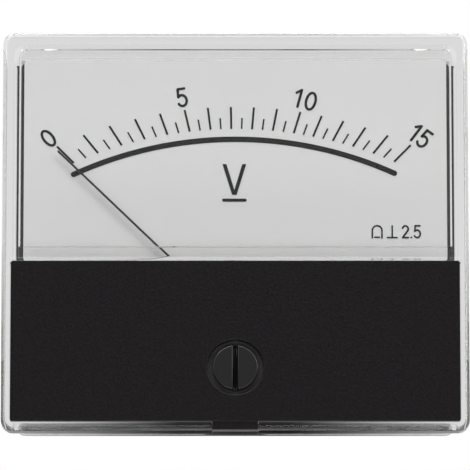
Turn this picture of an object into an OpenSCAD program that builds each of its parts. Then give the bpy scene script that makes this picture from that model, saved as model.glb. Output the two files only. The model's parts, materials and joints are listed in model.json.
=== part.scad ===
// Rectangular moving-coil panel voltmeter, 0 to 15 V: clear cover with a black lower mask and a slotted
// zero adjuster, dial and needle, core-magnet movement, and a stepped round housing through the panel.
// X is to the right, Z is up and the face looks along -Y. The origin is on the axis of the round housing,
// in the plane where the meter sits on the front of the panel.

/* [Cover] */
// Width of the front lip
cover_w = 64; // [61:0.5:72]
// Height of the front lip
cover_h = 56; // [54:0.5:64]
// Depth from the front face to the panel
cover_depth = 11; // [10.5:0.25:16]
// Thickness of the front lip
lip_t = 2.4; // [2:0.1:3]
// Corner radius of the front lip
lip_corner_r = 1.6; // [1:0.1:3]
// Rounding of the lip's front edge
lip_edge_r = 0.8; // [0.3:0.1:0.9]
// How far the lip stands past the skirt at each side
lip_side = 1.4; // [1:0.1:1.8]
// How far the lip stands past the skirt at the top
lip_top = 1.4; // [1:0.1:1.8]
// How far the lip stands past the skirt at the bottom
lip_bottom = 1.4; // [1:0.1:1.8]
// Wall of the skirt behind the lip
skirt_wall = 0.8; // [0.7:0.1:1.2]
// Corner radius of the skirt
skirt_corner_r = 1.8; // [1.4:0.1:4]
// Thickness of the window
window_wall = 2; // [1.4:0.1:2.6]
// Thickness of the wall behind the mask
recess_wall = 1.4; // [1:0.1:1.8]
// Height of the thicker clear ledge between the window and the mask
ledge_h = 2.2; // [1.4:0.1:3]
// Rounding of the ledge's front edge above the mask
ledge_r = 0.55; // [0.2:0.05:0.8]

/* [Mask] */
// Clear rim of the lip at each side of the mask
mask_side = 1.25; // [1:0.05:2.5]
// Height of the mask
mask_h = 22.4; // [20:0.1:24]
// Depth of the recess that holds the mask
recess_depth = 1.6; // [1.2:0.1:1.8]
// How far the mask stands out of its recess
mask_proud = 0.15; // [0:0.05:0.4]
// Corner radius of the mask
mask_corner_r = 0.4; // [0.2:0.1:1]
// Clear rim of the lip below the mask
mask_rim = 1.25; // [1:0.05:2]
// Gap between the mask and its recess
mask_gap = 0.1; // [0.05:0.05:0.2]
// Width of the tab at the mask's lower edge
tab_w = 6.2; // [4:0.1:10]
// Diameter of the mask's pegs
peg_d = 2; // [1.5:0.1:2.5]
// Distance of the mask's pegs from its side edges
peg_edge = 5.75; // [4:0.25:8]

/* [Zero adjuster] */
// Height of the adjuster above the mask's lower edge
adjuster_rise = 7.5; // [6.5:0.25:8]
// Diameter of the adjuster's head
head_d = 6.2; // [5.5:0.1:7]
// Gap around the head in the mask
head_gap = 0.75; // [0.3:0.05:0.9]
// Width of the driver slot
slot_w = 0.65; // [0.5:0.05:1.2]
// Depth of the driver slot
slot_depth = 1; // [0.5:0.1:1.2]
// Diameter of the adjuster's shaft
shaft_d = 4; // [3.5:0.1:4.5]
// Running clearance of the shaft and of the zero arm, on the radius
run_gap = 0.05; // [0.03:0.01:0.08]
// Diameter of the eccentric pin
crank_pin_d = 1; // [0.8:0.1:1.2]
// Distance of the eccentric pin from the shaft's axis
crank_r = 1; // [0.8:0.1:1.2]

/* [Dial] */
// Depth of the dial behind the front face
dial_depth = 7.8; // [7.8:0.1:8.4]
// Thickness of the dial sheet
dial_t = 0.6; // [0.4:0.1:0.8]
// Gap between the dial's side edges and the skirt
dial_gap = 0.55; // [0.3:0.05:0.8]
// Gap between the dial's upper edge and the skirt
dial_top_gap = 0.1; // [0.1:0.05:0.5]
// Height of the dial's lower edge below the housing's axis
dial_drop = 16.5; // [15:0.5:17.5]
// Thickness of the printed ink
ink_t = 0.05; // [0.03:0.01:0.1]
// Radius of the printed arc
arc_r = 52.4; // [45:0.2:70]
// Height of the arc's crown above the pivot
arc_crown = 25.8; // [24:0.2:28]
// Width of the arc line
arc_line = 0.76; // [0.4:0.02:1.2]
// How far the arc runs on past the end marks, in degrees
arc_overrun = 2.2; // [0:0.1:4]
// Gap from the arc's middle to the tick marks
tick_gap = 1.48; // [0.8:0.02:2]
// Length of a tick mark for a whole volt
major_len = 3.12; // [2:0.02:4]
// Length of a tick mark for a half volt
minor_len = 1.55; // [1:0.02:2]
// Line width of a tick mark for a whole volt
major_line = 0.28; // [0.15:0.01:0.4]
// Line width of a tick mark for a half volt
minor_line = 0.21; // [0.15:0.01:0.4]

/* [Needle] */
// Length of the needle from the pivot
needle_len = 34.3; // [30:0.1:35]
// Width of the needle
needle_w = 0.28; // [0.2:0.02:0.5]
// Thickness of the needle and its balance cross
needle_t = 0.2; // [0.15:0.05:0.3]
// Gap between the needle and the dial
needle_gap = 0.8; // [0.6:0.1:1]
// Angle of the resting needle from upright
needle_rest = -45.7; // [-48:0.1:-44]
// Length of the balance cross's tail
tail_len = 6.4; // [5:0.1:6.6]

/* [Movement] */
// Diameter of the core magnet
core_d = 10; // [9:0.1:10.2]
// Length of the core magnet and the yoke
core_len = 9; // [7:0.1:12]
// Outer diameter of the yoke ring
yoke_d = 21; // [20.8:0.1:21.2]
// Wall of the yoke ring
yoke_wall = 3.3; // [2.8:0.1:3.6]
// Gap inside and outside the coil on the magnet's poles
coil_gap = 0.5; // [0.4:0.05:0.6]
// Thickness of the coil's winding
winding_t = 0.8; // [0.6:0.05:0.9]
// Thickness of the coil's former
former_t = 0.2; // [0.1:0.05:0.3]
// Width of the coil's sides
coil_side = 3; // [2:0.1:3.2]
// Gap between the coil's ends and the magnet
coil_end_gap = 1.2; // [0.8:0.1:1.6]
// Thickness of the bridges
bridge_t = 0.8; // [0.6:0.1:1]
// Width of the bridges
bridge_w = 3.6; // [3:0.1:4.4]
// Diameter of the jewel screws
jewel_d = 2; // [1.6:0.1:2.4]
// Diameter of the coil's staffs
staff_d = 0.7; // [0.5:0.05:0.9]
// Thickness of the plate that carries the movement
plate_t = 1; // [0.8:0.1:1.4]
// Number of turns in each hairspring
spring_turns = 4; // [2:1:5]
// Thickness of the hairspring strip
spring_t = 0.1; // [0.06:0.01:0.14]
// Outer radius of the hairsprings
spring_r = 3.2; // [2.8:0.1:3.4]

/* [Housing] */
// Outer diameter of the round housing in the panel
barrel_d = 47.6; // [47.2:0.1:48.4]
// How far the housing's rear drum is set in from the barrel
drum_step = 3.8; // [3.4:0.1:4]
// Depth of the round housing behind the panel
barrel_depth = 28; // [27:0.5:40]
// Wall of the round housing
barrel_wall = 1.5; // [1.2:0.1:1.6]
// Gap between the movement and the wall of the round housing
barrel_gap = 0.3; // [0.2:0.05:0.6]
// Thickness of the housing's rear wall
rear_wall = 2; // [1.6:0.1:3]
// Gap between the flange and the cover's skirt
flange_gap = 0.1; // [0.05:0.05:0.2]
// Distance of the mounting studs from the flange's side edges
stud_edge_x = 3.7; // [3:0.1:5]
// Distance of the mounting studs from the nearer of the flange's upper and lower edges
stud_edge_z = 3.7; // [3:0.1:5]
// Diameter of the mounting studs
stud_d = 3; // [2.5:0.1:3.5]
// Length of the mounting studs behind the panel
stud_len = 14; // [8:0.5:20]
// Distance of the terminal posts from the edge of the housing's rear wall
post_edge = 7.5; // [7:0.1:8.5]
// Diameter of the terminal posts
post_d = 4; // [3.5:0.1:4.5]
// Length of the terminal posts behind the housing
post_len = 16; // [14:0.5:24]

/* [Hidden] */
$fn = 64;
bite = 0.2;

// Levels along Y, from the front face back to the panel
front_y = -cover_depth;
lip_y = front_y + lip_t;
window_y = front_y + window_wall;
recess_y = front_y + recess_depth;
recess_back_y = recess_y + recess_wall;
dial_y = front_y + dial_depth;
dial_back_y = dial_y + dial_t;
needle_y = dial_y - needle_gap;

// The skirt behind the lip and the cavity in it
skirt_x = cover_w / 2 - lip_side;
skirt_top = cover_h / 2 - lip_top;
skirt_bottom = -cover_h / 2 + lip_bottom;
cavity_x = skirt_x - skirt_wall;
cavity_top = skirt_top - skirt_wall;
cavity_bottom = skirt_bottom + skirt_wall;
cavity_corner_r = skirt_corner_r - skirt_wall;
mask_w = cover_w - 2 * mask_side;
mask_bottom = -cover_h / 2 + mask_rim;
mask_top = mask_bottom + mask_h;
peg_z = mask_bottom + mask_h / 2;
peg_end = 0.4;
peg_x = mask_w / 2 - peg_edge;
window_bottom = mask_top + mask_gap + ledge_h;

// Screw posts of the cover, and the ribs of the flange that its sides snap over
cover_post_d = 5;
cover_post_edge = 9.8;
cover_post_rise = 4;
cover_post_x = cavity_x - cover_post_edge;
cover_post_z = cavity_bottom + cover_post_rise;
cover_screw_d = 2;
cover_screw_head_d = 4;
cover_screw_head_t = 1.3;
cover_screw_len = 5.4;
cover_screw_sink = cover_screw_head_t + 0.1;
hook_t = 0.9;
hook_h = skirt_wall / 2;
hook_y = -1.3;
hook_gap = 0.1;
hook_top = cavity_top - cavity_corner_r - 0.2;
hook_bottom = mask_top - ledge_h;

// The adjuster's levels, from its head to the pin
adjuster_z = mask_bottom + adjuster_rise;
adjuster_bore = shaft_d + 2 * run_gap;
mask_floor = recess_depth / 5;
mask_floor_gap = 0.3;
head_back_y = recess_y - mask_floor - run_gap;
clip_t = 0.4;
clip_y = recess_back_y + 0.1;
clip_d = shaft_d + 1.4;
clip_groove_d = shaft_d - 1;
shaft_end_y = clip_y + clip_t + 0.3;

// The moving system turns about an axis along Y at the pivot, as low as the round housing lets the yoke go
plate_rim = 0.4;
pivot_z = yoke_d / 2 + plate_rim / 2 + barrel_gap + barrel_wall - barrel_d / 2;
bridge_back_y = needle_y - 1.2;
bridge_front_y = bridge_back_y - bridge_t;
arm_t = 0.4;
arm_back_y = bridge_front_y - 0.1;
arm_front_y = arm_back_y - arm_t;
nut_t = 0.55;
nut_back_y = arm_front_y - 0.05;
jewel_front_y = nut_back_y - nut_t - 0.25;
jewel_back_y = bridge_back_y + 0.2;
yoke_y = 0.5;
yoke_back_y = yoke_y + core_len;
middle_y = yoke_y + core_len / 2;
plate_back_y = yoke_back_y + plate_t;
coil_in_x = core_d / 2 + coil_gap;
coil_out_x = coil_in_x + former_t + winding_t;
coil_in_y = yoke_y - coil_end_gap;
coil_out_y = coil_in_y - former_t - winding_t;
yoke_in_d = yoke_d - 2 * yoke_wall;

// The front staff: a foot on the coil, a collet for the spring and a point in the jewel
staff_foot_d = 2.4;
staff_foot_t = 0.4;
point_len = 0.5;
point_y = jewel_back_y - 0.45;
collet_d = 1.6;
collet_y = bridge_back_y + 0.3;
collet_len = 0.45;
hub_d = 2.4;
hub_len = 0.8;

// Bridges stand on two legs with screwed feet
leg_x = 7.7;
leg_t = 0.6;
foot_out_x = 10.3;
foot_screw_x = 9.35;
small_screw_d = 1.2;
small_head_d = 2;
small_head_t = 0.6;
small_screw_len = 2.5;

// The zero arm reaches down to the adjuster's pin
crank_reach = pivot_z - adjuster_z;
crank_clear = 0.12;
arm_w = 2.6;
arm_end = crank_reach + 0.35;
rear_arm_end = 5;
fork_w = crank_pin_d + 2 * crank_clear;
fork_depth = arm_end - crank_reach + crank_r + crank_pin_d;
ring_d = 5.2;
spring_tab_t = 0.4;
spring_tab_w = 1;
spring_w = 0.4;
spring_gap = 0.02;
turn_steps = 24;

// Balance cross of the needle: the tail's brass weight balances the aluminium needle about the pivot
cross_w = 0.5;
side_arm_len = 5.6;
side_weight_d = 1.1;
side_weight_len = 1;
weight_inset = 0.2;
tail_weight_len = 1.3;
tail_weight_at = tail_len - weight_inset - tail_weight_len / 2;
needle_moment = needle_t * (needle_w * pow(needle_len, 2) - cross_w * pow(tail_len, 2)) / 2;
tail_weight_area = needle_moment * 2.7 / 8.5 / tail_weight_len / tail_weight_at + cross_w * needle_t;
tail_weight_d = sqrt(4 * tail_weight_area / PI);

// Dial cut-out, its screws and the needle's stops
dial_cut_r = 7.4;
dial_cut_gap = 0.7;
dial_cut_x = leg_x + leg_t + dial_cut_gap;
dial_cut_top = pivot_z + bridge_w / 2 + dial_cut_gap;
dial_x = cavity_x - dial_gap;
dial_corner_r = 0.4 * cavity_corner_r;
dial_screw_edge = 3.25;
dial_screw_x = dial_x - dial_screw_edge;
dial_screw_z = pivot_z - 1.2;
dial_screw_d = 1.8;
dial_screw_head_d = 3.4;
dial_screw_head_t = 0.9;
dial_screw_len = 2.2;
stop_r = 11;
stop_d = 0.8;
stop_angle = 56.5;
stop_x = stop_r * sin(stop_angle);
stop_z = pivot_z + stop_r * cos(stop_angle);
stop_h = 1.6;

// Volts printed on the scale, with the needle's angle from upright at each
scale_marks = [[0, -44.9], [5, -13.2], [10, 16.9], [15, 44.2]];
scale_volts = 15;
arc_centre = arc_r - arc_crown;

// Housing details: flange edge, movement bosses, stud heads and terminals
barrel_in_d = barrel_d - 2 * barrel_wall;
barrel_chamfer = 0.5;
drum_d = barrel_d - 2 * drum_step;
drum_in_d = drum_d - 2 * barrel_wall;
drum_chamfer = 0.8;
shelf_t = 1.5;
shelf_y = plate_back_y + shelf_t;
flange_x = cavity_x - flange_gap;
flange_top = cavity_top - flange_gap;
flange_bottom = cavity_bottom + flange_gap;
flange_y = dial_back_y;
stud_spacing_x = 2 * (flange_x - stud_edge_x);
stud_spacing_z = 2 * (min(flange_top, -flange_bottom) - stud_edge_z);
rear_in_y = barrel_depth - rear_wall;
boss_d = 5.4;
boss_gap = 0.28;
boss_z = -4;
boss_x = sqrt(pow(barrel_in_d / 2 - boss_d / 2 - boss_gap, 2) - pow(boss_z, 2));
boss_floor = 1.5;
boss_sink = 0.2;
stud_head_d = 5;
stud_head_t = 1.2;
stud_shank_d = stud_d + 0.4;
stud_chamfer = 0.4;
movement_screw_d = 2;
movement_head_d = 3.8;
movement_head_t = 1.2;
movement_screw_len = 5;
post_spacing = drum_d - 2 * post_edge;
post_head_d = 7;
post_head_t = 1.4;
post_boss_d = 10;
post_boss_t = 0.8;
post_gap = 0.1;
tag_t = 0.4;
tag_len = 7;
tag_w = 3;
washer_d = 9;
washer_t = 0.8;
nut_af = 7;
post_nut_t = 3.2;
post_boss_y = barrel_depth + post_boss_t;
post_nut_y = post_boss_y + washer_t;
wire_washer_y = post_nut_y + post_nut_t;
wire_nut_y = wire_washer_y + washer_t;
wire_nut_end_y = wire_nut_y + post_nut_t;
post_end_y = barrel_depth + post_len;
post_groove_d = post_d - 0.7;
post_groove_len = 0.5;
post_chamfer = 0.5;

// Resistor and wires behind the movement
resistor_d = 2.4;
resistor_len = 6.4;
resistor_cap = 1.6;
resistor_x = 8;
resistor_gap = 5;
resistor_y = rear_in_y - resistor_gap;
resistor_z = -6;
lead_d = 0.6;
wire_d = 1;
wire_sides = 8;

// Solid of a flat outline, drawn in X and Z, from y0 back to y1
module slab(y0, y1) {
    translate([0, y1, 0]) rotate([90, 0, 0]) linear_extrude(y1 - y0) children();
}

// Round bar along Y
module rod(d, y0, y1) {
    translate([0, y1, 0]) rotate([90, 0, 0]) cylinder(d = d, h = y1 - y0);
}

// Cone along Y, d0 across at y0 and d1 across at y1
module taper(d0, d1, y0, y1) {
    translate([0, y1, 0]) rotate([90, 0, 0]) cylinder(d1 = d1, d2 = d0, h = y1 - y0);
}

// Moves to a point of the face
module at(x, z) {
    translate([x, 0, z]) children();
}

// The same piece at each side of the middle
module both_sides(x, z) {
    for (side = [-1, 1]) at(side * x, z) children();
}

// The rear half of the movement mirrors the front half about the middle of the magnet
module to_rear() {
    translate([0, 2 * middle_y, 0]) mirror([0, 1, 0]) children();
}

// Puts what is drawn for an upright needle at the needle's resting angle
module at_rest() {
    at(0, pivot_z) rotate([0, needle_rest, 0]) children();
}

// Rectangle with round corners, from its edges
module rounded(x0, x1, z0, z1, r) {
    translate([x0 + r, z0]) square([x1 - x0 - 2 * r, z1 - z0]);
    translate([x0, z0 + r]) square([x1 - x0, z1 - z0 - 2 * r]);
    for (x = [x0 + r, x1 - r], z = [z0 + r, z1 - r]) translate([x, z]) circle(r = r);
}

// Cheese-head screw: head in front of y, shank behind it
module screw(d, head_d, head_t, len, y) {
    difference() {
        rod(head_d, y - head_t, y);
        translate([-head_d, y - head_t - bite, -head_d / 10])
            cube([2 * head_d, head_t / 2 + bite, head_d / 5]);
    }
    rod(d, y - bite, y + len);
}

// Tube along a list of points; side is a direction that the route never takes
function along(p, i) = let (a = p[max(i - 1, 0)], b = p[min(i + 1, len(p) - 1)]) (b - a) / norm(b - a);
function ring(p, i, r, k, side) = let (t = along(p, i), u = cross(t, side), v = u / norm(u),
    a = 360 * k / wire_sides) p[i] + r * (cos(a) * v + sin(a) * cross(t, v));
module wire(p, d, side) {
    n = len(p);
    s = wire_sides;
    sides = [for (i = [0:n - 2], k = [0:s - 1]) let (a = i * s + k, b = i * s + (k + 1) % s)
        [a, b, b + s, a + s]];
    ends = [[for (k = [s - 1:-1:0]) k], [for (k = [0:s - 1]) (n - 1) * s + k]];
    points = [for (i = [0:n - 1], k = [0:s - 1]) ring(p, i, d / 2, k, side)];
    polyhedron(points, concat(sides, ends), convexity = 4);
}

// Smooth route from a to b that leaves along da and arrives along db
function bend(a, da, db, b, n = 12) = [for (i = [0:n]) let (t = i / n, c = a + da, e = b - db)
    pow(1 - t, 3) * a + 3 * t * pow(1 - t, 2) * c + 3 * t * t * (1 - t) * e + t * t * t * b];

module lip_corner() {
    rotate([90, 0, 0]) rotate_extrude($fn = 32) {
        square([lip_corner_r, lip_t - lip_edge_r]);
        square([lip_corner_r - lip_edge_r, lip_t]);
        intersection() {
            translate([lip_corner_r - lip_edge_r, lip_t - lip_edge_r]) circle(r = lip_edge_r);
            square([lip_corner_r, lip_t]);
        }
    }
}

module lip() {
    x = cover_w / 2 - lip_corner_r;
    z = cover_h / 2 - lip_corner_r;
    hull() for (sx = [-1, 1], sz = [-1, 1]) translate([sx * x, lip_y, sz * z]) lip_corner();
}

module skirt_outline() {
    rounded(-skirt_x, skirt_x, skirt_bottom, skirt_top, skirt_corner_r);
}

module cavity_outline(inset = 0) {
    x = cavity_x - inset;
    rounded(-x, x, cavity_bottom + inset, cavity_top - inset, cavity_corner_r);
}

module mask_outline(grow = 0) {
    rounded(-mask_w / 2 - grow, mask_w / 2 + grow, mask_bottom - grow, mask_top + grow, mask_corner_r);
}

module hook_bar(gap = 0) {
    half = hook_t / 2 + gap;
    slab(hook_y - half, hook_y + half) for (side = [0, 1]) mirror([side, 0])
        translate([flange_x - bite, hook_bottom - gap])
            square([bite + flange_gap + hook_h + gap, hook_top - hook_bottom + 2 * gap]);
}

// What the rounding takes off the front edge of the ledge, across the mask's recess
module ledge_rounding() {
    w = mask_w + 2 * mask_gap;
    z = mask_top + mask_gap;
    difference() {
        translate([-w / 2, front_y - bite, z - bite]) cube([w, bite + ledge_r, bite + ledge_r]);
        translate([0, front_y + ledge_r, z + ledge_r]) rotate([0, 90, 0])
            cylinder(r = ledge_r, h = 2 * w, center = true);
    }
}

module front_cover() {
    color([0.86, 0.9, 0.9, 0.4]) {
        difference() {
            union() {
                lip();
                slab(lip_y - bite, 0) skirt_outline();
            }
            slab(recess_back_y, bite) cavity_outline();
            slab(window_y, recess_back_y + bite) intersection() {
                cavity_outline();
                translate([-cavity_x, window_bottom]) square([2 * cavity_x, cavity_top - window_bottom]);
            }
            ledge_rounding();
            slab(front_y - bite, recess_y) mask_outline(mask_gap);
            slab(front_y - bite, recess_y) translate([-tab_w / 2 - mask_gap, -cover_h / 2 - bite])
                square([tab_w + 2 * mask_gap, mask_rim + 2 * bite]);
            at(0, adjuster_z) rod(adjuster_bore, front_y, 0);
            both_sides(peg_x, peg_z) rod(peg_d + 2 * mask_gap, front_y, -cover_depth / 2);
            hook_bar(hook_gap);
        }
        both_sides(cover_post_x, cover_post_z) difference() {
            rod(cover_post_d, recess_back_y - bite, flange_y);
            rod(cover_screw_d, recess_back_y + 1, flange_y + bite);
        }
    }
}

module front_mask() {
    color([0.13, 0.12, 0.12]) {
        difference() {
            union() {
                slab(front_y - mask_proud, recess_y) mask_outline();
                slab(front_y + mask_gap, recess_y) translate([-tab_w / 2, mask_gap - cover_h / 2])
                    square([tab_w, mask_rim]);
            }
            at(0, adjuster_z) rod(head_d + 2 * head_gap, front_y - 1, recess_y - mask_floor);
            at(0, adjuster_z) rod(shaft_d + 2 * mask_floor_gap, front_y - 1, 0);
        }
        both_sides(peg_x, peg_z) rod(peg_d, recess_y - bite, recess_back_y + peg_end);
    }
}

module zero_adjuster() {
    color([0.16, 0.15, 0.15]) at(0, adjuster_z) {
        difference() {
            union() {
                rod(head_d, front_y, head_back_y);
                rod(shaft_d, head_back_y - bite, shaft_end_y);
            }
            translate([-slot_w / 2, front_y - 1, -head_d]) cube([slot_w, 1 + slot_depth, 2 * head_d]);
            difference() {
                rod(shaft_d + 1, clip_y, clip_y + clip_t);
                rod(clip_groove_d, clip_y - bite, clip_y + clip_t + bite);
            }
        }
        at(0, crank_r) rod(crank_pin_d, shaft_end_y - bite, arm_back_y + 0.25);
    }
}

module adjuster_clip() {
    color([0.55, 0.56, 0.58]) at(0, adjuster_z) difference() {
        rod(clip_d, clip_y, clip_y + clip_t);
        rod(clip_groove_d, clip_y - 1, clip_y + 1);
        translate([-clip_groove_d * 0.4, clip_y - 1, -clip_d]) cube([clip_groove_d * 0.8, 2, clip_d]);
    }
}

module dial_plate() {
    color([0.84, 0.85, 0.84]) slab(dial_y, dial_back_y) difference() {
        rounded(-dial_x, dial_x, -dial_drop, cavity_top - dial_top_gap, dial_corner_r);
        translate([0, pivot_z]) circle(r = dial_cut_r);
        translate([-dial_cut_x, -dial_drop - 1]) square([2 * dial_cut_x, dial_drop + 1 + dial_cut_top]);
        for (side = [-1, 1]) {
            translate([side * dial_screw_x, dial_screw_z]) circle(d = dial_screw_d);
            translate([side * stop_x, stop_z]) circle(d = stop_d);
        }
    }
}

// Distance from the pivot to a circle of radius r about the arc's centre, at an angle from upright
function reach(angle, r) = -arc_centre * cos(angle) + sqrt(r * r - pow(arc_centre * sin(angle), 2));
function mark_angle(volts) = lookup(volts, scale_marks);
function arc_point(angle) = reach(angle, arc_r) * [sin(angle), cos(angle)];

module scale_print() {
    low = mark_angle(0) - arc_overrun;
    high = mark_angle(scale_volts) + arc_overrun;
    color([0.2, 0.2, 0.2]) at(0, pivot_z) {
        slab(dial_y - ink_t, dial_y) {
            intersection() {
                difference() {
                    translate([0, -arc_centre]) circle(r = arc_r + arc_line / 2);
                    translate([0, -arc_centre]) circle(r = arc_r - arc_line / 2);
                }
                polygon([[0, -arc_centre], 2 * (arc_point(low) + [0, arc_centre]) - [0, arc_centre],
                    [0, 2 * arc_r], 2 * (arc_point(high) + [0, arc_centre]) - [0, arc_centre]]);
            }
            for (a = [low, high]) translate(arc_point(a)) circle(d = arc_line);
        }
        for (half = [0:2 * scale_volts]) {
            major = half % 2 == 0;
            a = mark_angle(half / 2);
            w = major ? major_line : minor_line;
            r0 = reach(a, arc_r + tick_gap);
            r1 = reach(a, arc_r + tick_gap + (major ? major_len : minor_len));
            slab(dial_y - ink_t, dial_y) rotate(-a) translate([-w / 2, r0]) square([w, r1 - r0]);
        }
    }
}

module dial_screws() {
    color([0.72, 0.72, 0.72]) both_sides(dial_screw_x, dial_screw_z)
        screw(dial_screw_d, dial_screw_head_d, dial_screw_head_t, dial_screw_len, dial_y);
}

module pointer_stops() {
    color([0.75, 0.6, 0.3]) both_sides(stop_x, stop_z) rod(stop_d, dial_y - stop_h, dial_back_y);
}

// Shell of the housing: flange, barrel and narrower drum, open to the front, with the shelf for the plate
module housing_shell() {
    difference() {
        union() {
            slab(flange_y, 0) cavity_outline(flange_gap);
            rod(barrel_d, -bite, shelf_y - barrel_chamfer);
            taper(barrel_d, barrel_d - 2 * barrel_chamfer, shelf_y - barrel_chamfer, shelf_y);
            rod(drum_d, shelf_y - bite, barrel_depth - drum_chamfer);
            taper(drum_d, drum_d - 2 * drum_chamfer, barrel_depth - drum_chamfer, barrel_depth);
            both_sides(post_spacing / 2, 0) rod(post_boss_d, barrel_depth - bite, post_boss_y);
            hook_bar();
        }
        rod(barrel_in_d, flange_y - bite, plate_back_y);
        rod(drum_in_d, plate_back_y - bite, rear_in_y);
    }
}

module rear_housing() {
    color([0.12, 0.12, 0.12]) difference() {
        union() {
            housing_shell();
            both_sides(boss_x, boss_z)
                rod(boss_d, plate_back_y + boss_sink, plate_back_y + movement_screw_len + boss_floor);
        }
        both_sides(boss_x, boss_z)
            rod(movement_screw_d, plate_back_y - bite, plate_back_y + movement_screw_len);
        for (z = [-1, 1]) both_sides(stud_spacing_x / 2, z * stud_spacing_z / 2) {
            rod(stud_shank_d, flange_y - bite, bite);
            rod(stud_head_d, flange_y - bite, flange_y + stud_head_t);
        }
        both_sides(cover_post_x, cover_post_z) {
            rod(cover_screw_d + 0.2, flange_y - bite, bite);
            rod(cover_screw_head_d + 0.2, -cover_screw_sink, bite);
        }
        both_sides(dial_screw_x, dial_screw_z)
            rod(dial_screw_d, flange_y - bite, dial_y + dial_screw_len);
        both_sides(post_spacing / 2, 0)
            rod(post_d + 2 * post_gap, rear_in_y - bite, post_boss_y + bite);
    }
}

module cover_screws() {
    color([0.65, 0.65, 0.66]) both_sides(cover_post_x, cover_post_z) mirror([0, 1, 0])
        screw(cover_screw_d, cover_screw_head_d, cover_screw_head_t, cover_screw_len, cover_screw_sink);
}

module mounting_studs() {
    color([0.72, 0.7, 0.62]) for (z = [-1, 1]) both_sides(stud_spacing_x / 2, z * stud_spacing_z / 2) {
        rod(stud_head_d, flange_y, flange_y + stud_head_t);
        rod(stud_shank_d, flange_y + stud_head_t - bite, 0);
        rod(stud_d, -bite, stud_len - stud_chamfer);
        taper(stud_d, stud_d - 2 * stud_chamfer, stud_len - stud_chamfer, stud_len);
    }
}

module terminal_posts() {
    color([0.78, 0.66, 0.36]) both_sides(post_spacing / 2, 0) {
        rod(post_head_d, rear_in_y - tag_t - post_head_t, rear_in_y - tag_t, $fn = 6);
        difference() {
            rod(post_d, rear_in_y - tag_t - bite, post_end_y - post_chamfer);
            difference() {
                rod(post_d + 1, wire_nut_end_y - post_groove_len, wire_nut_end_y);
                rod(post_groove_d, wire_nut_end_y - 1, wire_nut_end_y + 1);
            }
        }
        taper(post_d, post_d - 2 * post_chamfer, post_end_y - post_chamfer, post_end_y);
    }
}

module terminal_tags() {
    color([0.8, 0.78, 0.7]) for (side = [-1, 1]) at(side * post_spacing / 2, 0)
        slab(rear_in_y - tag_t, rear_in_y) difference() {
            union() {
                circle(d = post_head_d + 0.6);
                translate([-tag_w / 2, -tag_len]) square([tag_w, tag_len]);
                translate([0, -tag_len]) circle(d = tag_w);
            }
            circle(d = post_d);
        }
}

module washers(y) {
    both_sides(post_spacing / 2, 0) difference() {
        rod(washer_d, y, y + washer_t);
        rod(post_d, y - 1, y + washer_t + 1);
    }
}

module nuts(y) {
    both_sides(post_spacing / 2, 0) difference() {
        rod(nut_af / cos(30), y, y + post_nut_t, $fn = 6);
        rod(post_d, y - 1, y + post_nut_t + 1);
    }
}

module post_washers() {
    color([0.75, 0.75, 0.74]) washers(post_boss_y);
}

module post_nuts() {
    color([0.78, 0.66, 0.36]) nuts(post_nut_y);
}

module wire_washers() {
    color([0.75, 0.75, 0.74]) washers(wire_washer_y);
}

module wire_nuts() {
    color([0.78, 0.66, 0.36]) nuts(wire_nut_y);
}

module movement_plate() {
    color([0.6, 0.61, 0.62]) slab(yoke_back_y, plate_back_y) difference() {
        union() {
            translate([0, pivot_z]) circle(d = yoke_d + plate_rim);
            translate([-boss_x, boss_z - boss_d / 2]) square([2 * boss_x, boss_d]);
            for (side = [-1, 1]) translate([side * boss_x, boss_z]) circle(d = boss_d);
        }
        translate([0, pivot_z]) circle(d = yoke_in_d + 0.8);
        for (side = [-1, 1]) {
            translate([side * boss_x, boss_z]) circle(d = movement_screw_d + 0.2);
            translate([side * foot_screw_x, pivot_z]) circle(d = small_screw_d);
        }
    }
}

module movement_screws() {
    color([0.68, 0.68, 0.69]) both_sides(boss_x, boss_z)
        screw(movement_screw_d, movement_head_d, movement_head_t, movement_screw_len, yoke_back_y);
}

module yoke_ring() {
    color([0.42, 0.43, 0.45]) at(0, pivot_z) difference() {
        rod(yoke_d, yoke_y, yoke_back_y);
        rod(yoke_in_d, yoke_y - 1, yoke_back_y + 1);
        both_sides(foot_screw_x, 0) {
            rod(small_screw_d, yoke_y - 1, yoke_y + small_screw_len);
            rod(small_screw_d, yoke_back_y - small_screw_len, yoke_back_y + 1);
        }
    }
}

module core_magnet() {
    color([0.5, 0.5, 0.52]) at(0, pivot_z) rod(core_d, yoke_y, yoke_back_y);
}

module core_spacers() {
    spacer_w = core_d * 0.32;
    color([0.7, 0.66, 0.5]) at(0, pivot_z) for (side = [0, 180]) rotate([0, side, 0])
        slab(yoke_y, yoke_back_y) intersection() {
            difference() {
                circle(d = yoke_in_d);
                circle(d = core_d);
            }
            translate([-spacer_w / 2, 0]) square([spacer_w, yoke_d]);
        }
}

// Strip across the movement on two legs, with feet at foot_y
module bridge(foot_y) {
    at(0, pivot_z) difference() {
        union() {
            translate([-leg_x - leg_t, bridge_front_y, -bridge_w / 2])
                cube([2 * (leg_x + leg_t), bridge_t, bridge_w]);
            for (side = [0, 180]) rotate([0, side, 0]) translate([leg_x, 0, -bridge_w / 2]) {
                translate([0, bridge_front_y, 0]) cube([leg_t, foot_y - bridge_front_y, bridge_w]);
                translate([0, foot_y - bridge_t, 0]) cube([foot_out_x - leg_x, bridge_t, bridge_w]);
            }
        }
        rod(jewel_d, bridge_front_y - 1, bridge_back_y + 1);
        both_sides(foot_screw_x, 0) rod(small_screw_d, bridge_front_y, foot_y + 1);
    }
}

module front_bridge() {
    color([0.78, 0.66, 0.36]) bridge(yoke_y);
}

module rear_bridge() {
    color([0.78, 0.66, 0.36]) to_rear() bridge(yoke_y - plate_t);
}

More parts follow.
